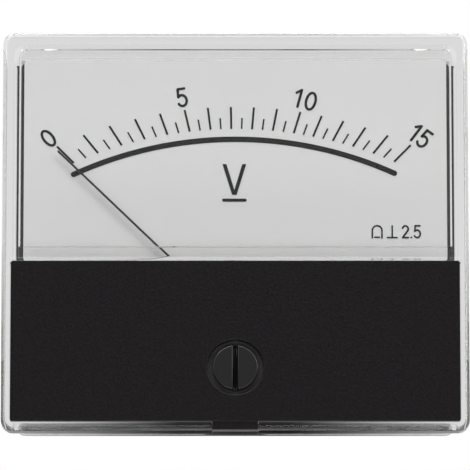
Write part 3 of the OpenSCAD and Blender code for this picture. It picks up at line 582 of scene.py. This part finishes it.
def moved(strokes, dx):
    """Strokes moved sideways by dx."""
    return [np.asarray(path) + [dx, 0] for path in strokes]


def stroke(path, width, cap=7):
    """Flat line of one width along a path with round ends: each path point is moved half a width to both
    sides along the normal, and beyond each end the rows close in on a half circle."""
    path = np.asarray(path, float)
    gaps = np.gradient(path, axis=0)
    along = gaps / np.linalg.norm(gaps, axis=1, keepdims=True)
    bend = np.radians(np.linspace(90, 0, cap))[:-1]
    first_tip = path[0] - np.outer(np.sin(bend), along[0]) * width / 2
    last_tip = path[-1] + np.outer(np.sin(bend), along[-1]) * width / 2
    middle = np.vstack([first_tip, path, last_tip[::-1]])
    ahead = np.vstack([np.tile(along[0], (cap - 1, 1)), along, np.tile(along[-1], (cap - 1, 1))])
    half = np.concatenate([np.cos(bend), np.ones(len(path)), np.cos(bend)[::-1]]) * width / 2
    across = np.stack([-ahead[:, 1], ahead[:, 0]], axis=-1) * half[:, None]
    rows = np.stack([middle - across, middle + across], axis=1)
    i = np.arange(len(middle) - 1) * 2
    faces = np.stack([i, i + 1, i + 3, i + 2], axis=-1)
    return rows.reshape(-1, 2), faces


def on_dial(flat):
    """Points (x, z) in millimetres as points on the ink's face, in metres."""
    return np.stack([flat[:, 0], np.full(len(flat), INK_FACE), flat[:, 1]], axis=-1) * MM


def lettering(strokes, width, tall, tilt, at):
    """Strokes drawn one unit tall about (0, 0), scaled to a height, turned clockwise by tilt and moved."""
    turn = np.radians(-tilt)
    spin = np.array([[np.cos(turn), -np.sin(turn)], [np.sin(turn), np.cos(turn)]])
    shells = []
    for path in strokes:
        points, faces = stroke(np.asarray(path) * tall, width)
        shells.append((on_dial(points @ spin.T + np.asarray(at)), [faces]))
    return shells


zero = [arc(0, 0, 0.235, 0.445, 90, 450, 48)]
one = [straight((0.06, -0.45), (0.06, 0.45)), straight((0.06, 0.45), (-0.16, 0.25))]
two_top = arc(0, 0.21, 0.215, 0.24, 165, -38, 28)
two = [two_top, straight(two_top[-1], (-0.21, -0.45)), straight((-0.21, -0.45), (0.22, -0.45))]
five_bowl = arc(-0.02, -0.165, 0.23, 0.285, 128, -148, 36)
five = [
    straight((0.18, 0.45), (-0.16, 0.45)),
    straight((-0.16, 0.45), (-0.19, 0.03)),
    straight((-0.19, 0.03), five_bowl[0]),
    five_bowl,
]
ten = moved(one, -0.335) + moved(zero, 0.31)
fifteen = moved(one, -0.3) + moved(five, 0.27)
coil_bow = [
    straight((-0.36, -0.47), (-0.36, 0.1)),
    arc(0, 0.1, 0.36, 0.36, 180, 0, 30),
    straight((0.36, 0.1), (0.36, -0.47)),
]
coil_sign = [np.vstack(coil_bow), straight((-0.17, -0.42), (0.17, -0.42))]
upright_sign = [straight((0, 0.45), (0, -0.45)), straight((-0.36, -0.45), (0.36, -0.45))]
decimal_point = [straight((-0.01, -0.44), (0.01, -0.44))]
underline = [straight((-0.5, 0), (0.5, 0))]
figures = []
for strokes, width, tall, tilt, at in (
    (zero, FIGURE_LINE, FIGURE_TALL, -39, (-25.88, 14.64)),
    (five, FIGURE_LINE, FIGURE_TALL, -9, (-7.38, 20.47)),
    (ten, FIGURE_LINE, FIGURE_TALL, 15, (9.65, 20.14)),
    (fifteen, FIGURE_LINE, FIGURE_TALL, 37, (25.6, 14.97)),
    (underline, UNDERLINE_LINE, UNDERLINE_LONG, 0, UNDERLINE_AT),
    (coil_sign, SIGN_LINE, SIGN_TALL, 0, (19.58, SIGN_Z)),
    (upright_sign, SIGN_LINE, SIGN_TALL, 0, (21.66, SIGN_Z)),
    (two, ACCURACY_LINE, SIGN_TALL, 0, (23.48, SIGN_Z)),
    (decimal_point, POINT_LINE, SIGN_TALL, 0, (24.3, SIGN_Z)),
    (five, ACCURACY_LINE, SIGN_TALL, 0, (25.14, SIGN_Z)),
):
    figures += lettering(strokes, width, tall, tilt, at)
for side in (1, -1):
    figures.append((on_dial(VOLT_ARM * (side, 1) + VOLT_AT), [np.arange(len(VOLT_ARM))[None, :]]))
placed("dial_figures", figures, dial_ink)

# Cover: one moulding in clear acrylic (PMMA) with polished faces, screwed to the flange from behind and
# snapped over its ribs. Its lip frames the mask, its window is 2 mm thick, and a skirt closes on the flange.
COVER_EDGE = 0.06
COVER_FILLET = 0.35
WINDOW_BACK = -9.0
WINDOW_FOOT = 3.0
ON_PLANE = 0.01 * MM

# PMMA: water-clear, with an index of 1.49 and a colour that stays neutral. Lamp light and light from other
# surfaces pass straight through with a tenth lost, as through a flat sheet, so the dial is evenly lit. What
# the eye sees through it is refracted.
acrylic, tree = material("clear_moulded_acrylic")
clear = add(
    tree,
    "ShaderNodeBsdfPrincipled",
    {"Base Color": linear("#f4f4f4"), "Roughness": 0.015, "IOR": 1.49, "Transmission Weight": 1.0},
)
passing = add(tree, "ShaderNodeBsdfTransparent", {"Color": linear("#f3f3f3")})
ray = add(tree, "ShaderNodeLightPath")
room_light = add(
    tree,
    "ShaderNodeMixShader",
    {0: ray.outputs["Is Diffuse Ray"], 1: clear.outputs[0], 2: passing.outputs[0]},
)
lamp_light = add(
    tree,
    "ShaderNodeMixShader",
    {0: ray.outputs["Is Shadow Ray"], 1: room_light.outputs[0], 2: passing.outputs[0]},
)
add(tree, "ShaderNodeOutputMaterial", {"Surface": lamp_light.outputs[0]})


def window_corner(line):
    """True for an inner corner between the window's back face and the walls beside and above it."""
    at_back = all(abs(point.co.y - WINDOW_BACK * MM) < ON_PLANE for point in line.verts)
    above_foot = max(point.co.z for point in line.verts) > WINDOW_FOOT * MM
    return line.is_manifold and not line.is_convex and at_back and above_foot


dressed_copy("front_cover", acrylic, edge=COVER_EDGE, fillet=COVER_FILLET, inner=window_corner)

# Mask: black ABS plate pushed into the recess of the cover, where two pegs go through the recess's floor.
# It hides the movement, and a counterbore gives way to the adjuster's head.
MASK_GRAIN = 0.35
MASK_EDGE = 0.22
MASK_EDGE_STEPS = 3
# Depths over which the painted light on the counterbore's floor fades in.
PAINTED_LIGHT_FROM_Y = -10.4
PAINTED_LIGHT_FULL_Y = -9.9

# Grained ABS: near black, with a fine grain that gives a matte face. Down in the counterbore around the
# adjuster the colour turns grey, a painted light that lifts the shaded floor.
mask_abs, tree = material("matte_black_abs_grained")
place = add(tree, "ShaderNodeTexCoord").outputs["Object"]
grain = add(tree, "ShaderNodeTexNoise", {"Vector": place, "Scale": 1 / (MASK_GRAIN * MM), "Detail": 3.0})
face = add(
    tree,
    "ShaderNodeMix",
    {"Factor": grain.outputs["Fac"], COLOUR_A: linear("#030203"), COLOUR_B: linear("#1f1c1e")},
    data_type="RGBA",
)
# Painted light: the colour turns grey with depth towards the counterbore's floor, to lift its shade.
inward = add(tree, "ShaderNodeSeparateXYZ", {"Vector": place})
sunk = add(
    tree,
    "ShaderNodeMapRange",
    {"Value": inward.outputs["Y"], "From Min": PAINTED_LIGHT_FROM_Y * MM, "From Max": PAINTED_LIGHT_FULL_Y * MM},
)
tint = add(
    tree,
    "ShaderNodeMix",
    {"Factor": sunk.outputs[0], COLOUR_A: face.outputs[COLOUR_OUT], COLOUR_B: linear("#474546")},
    data_type="RGBA",
)
relief = add(
    tree,
    "ShaderNodeBump",
    {"Height": grain.outputs["Fac"], "Strength": 0.36, "Distance": 0.08 * MM},
)
plastic = add(
    tree,
    "ShaderNodeBsdfPrincipled",
    {
        "Base Color": tint.outputs[COLOUR_OUT],
        "Roughness": 0.32,
        "IOR": 1.45,
        "Specular IOR Level": 0.25,
        "Normal": relief.outputs[0],
    },
)
add(tree, "ShaderNodeOutputMaterial", {"Surface": plastic.outputs[0]})
dressed_copy("front_mask", mask_abs, edge=MASK_EDGE, steps=MASK_EDGE_STEPS)

# Zero adjuster: moulded screw in black plastic with a driver slot. Its shaft turns in the cover, held by a
# spring clip behind, and an eccentric pin on its end moves the zero arm.
ADJUSTER_GRAIN = 0.25
ADJUSTER_EDGE = 0.2
ADJUSTER_EDGE_STEPS = 3
# Depths over which the painted shade in the driver slot darkens.
PAINTED_SHADE_FROM_Y = -10.85
PAINTED_SHADE_FULL_Y = -10.4

# Moulded plastic, smoother than the mask: satin black. Its slot is painted near black with depth, a painted
# shade, and the driver polishes it.
adjuster_abs, tree = material("satin_black_moulded_screw")
place = add(tree, "ShaderNodeTexCoord").outputs["Object"]
grain = add(tree, "ShaderNodeTexNoise", {"Vector": place, "Scale": 1 / (ADJUSTER_GRAIN * MM), "Detail": 2.0})
relief = add(
    tree,
    "ShaderNodeBump",
    {"Height": grain.outputs["Fac"], "Strength": 0.15, "Distance": 0.02 * MM},
)
face = add(
    tree,
    "ShaderNodeMix",
    {"Factor": grain.outputs["Fac"], COLOUR_A: linear("#121112"), COLOUR_B: linear("#1c1b1c")},
    data_type="RGBA",
)
# Painted shade: the colour darkens to near black with depth down the driver slot.
inward = add(tree, "ShaderNodeSeparateXYZ", {"Vector": place})
sunk = add(
    tree,
    "ShaderNodeMapRange",
    {"Value": inward.outputs["Y"], "From Min": PAINTED_SHADE_FROM_Y * MM, "From Max": PAINTED_SHADE_FULL_Y * MM},
)
tint = add(
    tree,
    "ShaderNodeMix",
    {"Factor": sunk.outputs[0], COLOUR_A: face.outputs[COLOUR_OUT], COLOUR_B: linear("#030303")},
    data_type="RGBA",
)
rubbed = add(tree, "ShaderNodeMapRange", {"Value": sunk.outputs[0], "To Min": 0.3, "To Max": 0.12})
plastic = add(
    tree,
    "ShaderNodeBsdfPrincipled",
    {
        "Base Color": tint.outputs[COLOUR_OUT],
        "Roughness": rubbed.outputs[0],
        "IOR": 1.5,
        "Normal": relief.outputs[0],
    },
)
add(tree, "ShaderNodeOutputMaterial", {"Surface": plastic.outputs[0]})
dressed_copy("zero_adjuster", adjuster_abs, edge=ADJUSTER_EDGE, steps=ADJUSTER_EDGE_STEPS)

# Studio: the meter hangs free before a white ground, with a pale board for a floor well below it.
# Soft boxes light it from above, from both sides and from low in front. Sizes here are in metres.
FLOOR_HALF = 0.5
FLOOR_Z = -0.6
WHITE = linear("#ffffff")
MIDDLE = Vector((0, 0, 0))

# Painted board: pale grey and matte.
pale, tree = material("pale_studio_floor")
board = add(tree, "ShaderNodeBsdfPrincipled", {"Base Color": linear("#e6e6e6"), "Roughness": 0.9})
add(tree, "ShaderNodeOutputMaterial", {"Surface": board.outputs[0]})
corners = [(x * FLOOR_HALF, y * FLOOR_HALF, FLOOR_Z) for x, y in ((-1, -1), (1, -1), (1, 1), (-1, 1))]
floor_mesh = bpy.data.meshes.new("studio_floor")
floor_mesh.from_pydata(corners, [], [(0, 1, 2, 3)])
floor_mesh.materials.append(pale)
floor = bpy.data.objects.new("studio_floor", floor_mesh)
bpy.context.scene.collection.objects.link(floor)

# The room: white to the camera. In front of the meter it is a dome, dim up to well above the horizon and
# bright overhead. Behind it stands a pale backdrop that stays dark in a narrow band low in the middle, a
# painted shadow of the meter on the ground, which the clear cover shows in its edges. Light that comes
# through the cover sees the backdrop all around.
world = bpy.data.worlds.new("studio")
bpy.context.scene.world = world
world.use_nodes = True
tree = world.node_tree
tree.nodes.clear()
ray = add(tree, "ShaderNodeLightPath")
way = add(tree, "ShaderNodeSeparateXYZ", {"Vector": add(tree, "ShaderNodeTexCoord").outputs["Generated"]})
dome = add(
    tree,
    "ShaderNodeMapRange",
    {"Value": way.outputs["Z"], "From Min": 0.4, "From Max": 0.8, "To Min": 0.08, "To Max": 1.0},
)
height = add(
    tree,
    "ShaderNodeMapRange",
    {"Value": way.outputs["Z"], "From Min": -0.12, "From Max": 0.06, "To Min": 0.03, "To Max": 0.8},
)
# Painted shadow: the backdrop stays dark low down near the middle, and is lit only towards the sides.
sideways = add(tree, "ShaderNodeMath", {0: way.outputs["X"]}, operation="ABSOLUTE")
flanks = add(
    tree,
    "ShaderNodeMapRange",
    {"Value": sideways.outputs[0], "From Min": 0.004, "From Max": 0.036, "To Min": 0.0, "To Max": 0.86},
    interpolation_type="SMOOTHSTEP",
)
backdrop_with_painted_shadow = add(tree, "ShaderNodeMath", {0: height.outputs[0], 1: flanks.outputs[0]}, operation="MAXIMUM")
rear = add(tree, "ShaderNodeMapRange", {"Value": way.outputs["Y"], "From Min": -0.1, "From Max": 0.2})
around = add(
    tree,
    "ShaderNodeMix",
    {"Factor": rear.outputs[0], "A": dome.outputs[0], "B": backdrop_with_painted_shadow.outputs[0]},
    data_type="FLOAT",
)
room = add(tree, "ShaderNodeBackground", {"Color": WHITE, "Strength": around.outputs[0]})
behind = add(tree, "ShaderNodeBackground", {"Color": WHITE, "Strength": backdrop_with_painted_shadow.outputs[0]})
ground = add(tree, "ShaderNodeBackground", {"Color": WHITE, "Strength": 1.0})
through = add(
    tree,
    "ShaderNodeMixShader",
    {0: ray.outputs["Is Transmission Ray"], 1: room.outputs[0], 2: behind.outputs[0]},
)
seen = add(
    tree,
    "ShaderNodeMixShader",
    {0: ray.outputs["Is Camera Ray"], 1: through.outputs[0], 2: ground.outputs[0]},
)
add(tree, "ShaderNodeOutputWorld", {"Surface": seen.outputs[0]})

# Each lamp has its place, its size and its power in watts. All face the meter, and none is seen through the
# cover as a bright patch.
for name, spot, size, power in (
    ("key_softbox", (-0.5, -1.3, 1.7), (2.4, 1.8), 38.0),
    ("fill_softbox", (1.4, -1.3, 1.3), (2.0, 1.6), 15.0),
    ("top_softbox", (0.0, 0.45, 1.5), (2.4, 1.0), 40.0),
    ("right_softbox", (1.4, -1.0, 0.38), (0.5, 0.5), 5.0),
    ("left_softbox", (-1.4, -1.0, 0.38), (0.5, 0.5), 2.5),
    ("front_softbox", (0.2, -1.55, -0.65), (2.0, 0.5), 8.5),
):
    lamp = bpy.data.lights.new(name, "AREA")
    lamp.shape = "RECTANGLE"
    lamp.size, lamp.size_y = size
    lamp.energy = power
    made = bpy.data.objects.new(name, lamp)
    made.location = spot
    made.visible_transmission = False
    made.rotation_euler = (MIDDLE - Vector(spot)).to_track_quat("-Z", "Y").to_euler()
    bpy.context.scene.collection.objects.link(made)

# Camera: a metre from the middle of the meter's face and below its axis, looking up at it through a long
# lens. The shift, in pixels of the photograph's frame, places the meter in the picture as it is there.
COVER_FACE = -11
CAMERA_AWAY = 1.0  # metres
CAMERA_BELOW = np.radians(13.06)
PHOTO_PIXELS = 470
SHIFT_RIGHT, SHIFT_UP = -0.3, -5.3
camera = bpy.data.cameras.new("photo_camera")
camera.sensor_width = 36.0
camera.lens = 558.9
camera.shift_x = SHIFT_RIGHT / PHOTO_PIXELS
camera.shift_y = SHIFT_UP / PHOTO_PIXELS
camera.clip_start = 0.05
camera.clip_end = 20
eye = bpy.data.objects.new("photo_camera", camera)
eye.location = (
    0,
    COVER_FACE * MM - CAMERA_AWAY * np.cos(CAMERA_BELOW),
    -CAMERA_AWAY * np.sin(CAMERA_BELOW),
)
eye.rotation_euler = (np.pi / 2 + CAMERA_BELOW, 0, 0)
bpy.context.scene.collection.objects.link(eye)
bpy.context.scene.camera = eye
bpy.context.scene.view_settings.view_transform = "Standard"
